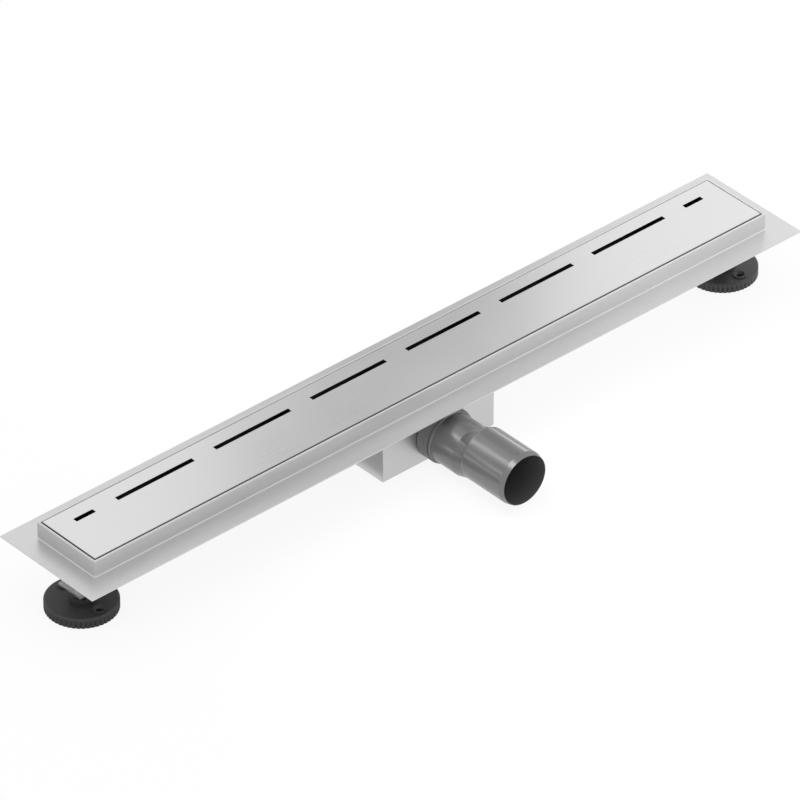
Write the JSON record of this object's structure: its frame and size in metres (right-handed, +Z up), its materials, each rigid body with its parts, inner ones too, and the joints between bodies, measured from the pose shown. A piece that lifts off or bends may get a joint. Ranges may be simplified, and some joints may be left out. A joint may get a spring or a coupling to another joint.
{
  "type": "linear shower drain",
  "caption": "Stainless channel drain with tile flange, slotted cover, lift-out water trap, side outlet and levelling feet.",
  "frame": {"origin": "middle of the cover's top face, which is level with the finished floor", "axes": "+X along the channel, +Y across it away from the outlet, +Z up"},
  "size_m": [0.8, 0.2045, 0.0738],
  "materials": {
    "satin_steel": "satin stainless sheet with fine grain",
    "brushed_cover": "stainless sheet brushed along its length",
    "zinc_steel": "bright zinc-plated steel",
    "grey_plastic": "smooth grey moulded plastic",
    "dark_grey_plastic": "dark grey moulded plastic",
    "black_plastic": "black moulded plastic",
    "black_rubber": "black rubber"
  },
  "bodies": {
    "drain": {"channel_body": "satin_steel", "trap_box": "satin_steel", "cover_plate": "brushed_cover", "cover_bridges": "satin_steel", "cover_pads": "black_rubber", "hair_strainer": "grey_plastic", "trap_insert": "grey_plastic", "trap_cup": "grey_plastic", "trap_seal_ring": "black_rubber", "outlet_ferrule": "satin_steel", "outlet_union_nut": "dark_grey_plastic", "outlet_cone_seal": "black_rubber", "outlet_adapter": "grey_plastic", "foot_nuts": "zinc_steel", "foot_washers": "zinc_steel", "foot_bracket_left": "satin_steel", "foot_bracket_right": "satin_steel"},
    "foot_left": {"foot_screw_left": "zinc_steel", "foot_base_left": "black_plastic"},
    "foot_right": {"foot_screw_right": "zinc_steel", "foot_base_right": "black_plastic"}
  },
  "joints": [
    {"name": "foot_left_slide", "type": "slide", "parent": "drain", "child": "foot_left", "axis": [0, 0, -1], "range_m": [0, 0.017]},
    {"name": "foot_right_slide", "type": "slide", "parent": "drain", "child": "foot_right", "axis": [0, 0, -1], "range_m": [0, 0.017]}
  ]
}
